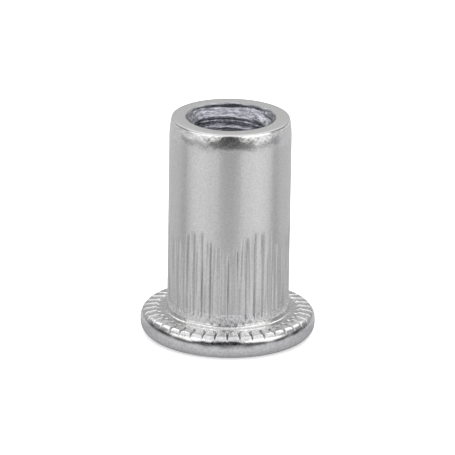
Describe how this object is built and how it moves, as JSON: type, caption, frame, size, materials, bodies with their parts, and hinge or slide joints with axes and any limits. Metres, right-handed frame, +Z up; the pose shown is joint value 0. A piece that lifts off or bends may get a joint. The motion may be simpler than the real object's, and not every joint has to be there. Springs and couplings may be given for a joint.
{
  "type": "rivet nut",
  "caption": "Open-ended rivet nut: internally threaded sleeve with a knurled lower length on a thick round flange with radial serrations under its head.",
  "frame": {"origin": "centre of the flange's flat bottom face", "axes": "+Z up the bore from the flange to the tip"},
  "size_m": [0.013, 0.013, 0.0167],
  "materials": {
    "aluminium": "bare, cold formed and tumbled satin, with a brighter cut thread"
  },
  "bodies": {
    "root": {"rivet_nut": "aluminium"}
  },
  "joints": []
}
